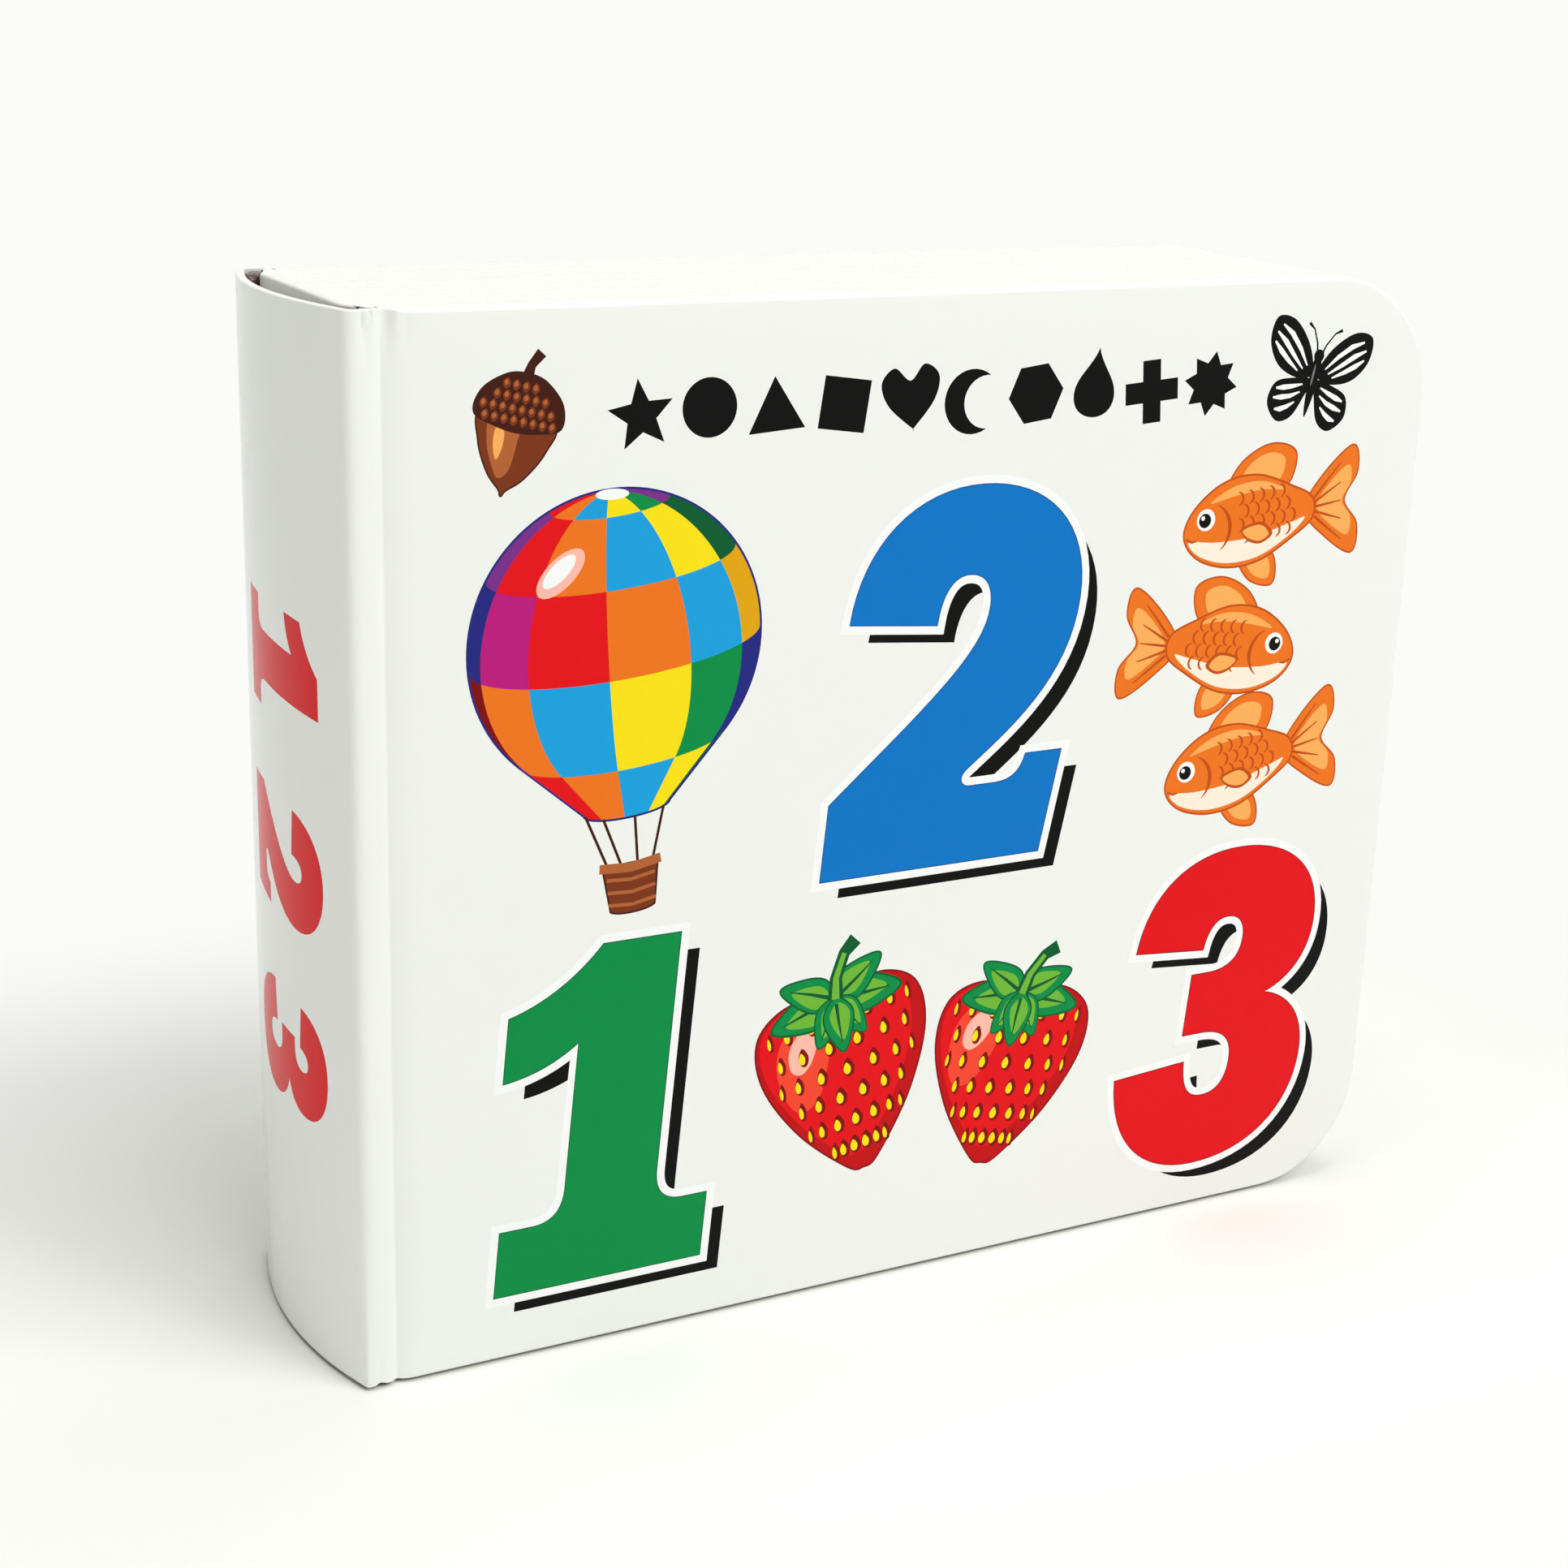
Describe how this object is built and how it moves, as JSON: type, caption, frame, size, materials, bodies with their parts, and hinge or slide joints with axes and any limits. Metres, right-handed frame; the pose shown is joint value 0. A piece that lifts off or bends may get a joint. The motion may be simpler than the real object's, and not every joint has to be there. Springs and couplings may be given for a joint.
{
  "type": "board book",
  "caption": "Thick landscape children's board book with rounded fore-edge corners, a bowed hollow spine and two hinged covers.",
  "frame": {"origin": "centre of the bottom of the closed book, on the tail edge that it stands on", "axes": "+X from the spine to the fore edge, +Y from the front cover to the back cover, +Z from the tail edge up to the head"},
  "size_m": [0.1772, 0.0468, 0.15],
  "materials": {
    "leaf_board": "satin",
    "cover_laminate": "gloss",
    "hot_glue": "satin"
  },
  "bodies": {
    "block": {"page_block": "leaf_board", "spine_cover": "cover_laminate", "spine_glue_front": "hot_glue", "spine_glue_back": "hot_glue"},
    "front_board": {"front_cover": "cover_laminate"},
    "back_board": {"back_cover": "cover_laminate"}
  },
  "joints": [
    {"name": "front_crease", "type": "hinge", "parent": "block", "child": "front_board", "pos_m": [-0.0799, -0.0235, 0.075], "axis": [0, 0, -1], "range_deg": [0, 180]},
    {"name": "back_crease", "type": "hinge", "parent": "block", "child": "back_board", "pos_m": [-0.0799, 0.0235, 0.075], "axis": [0, 0, 1], "range_deg": [0, 180]}
  ]
}
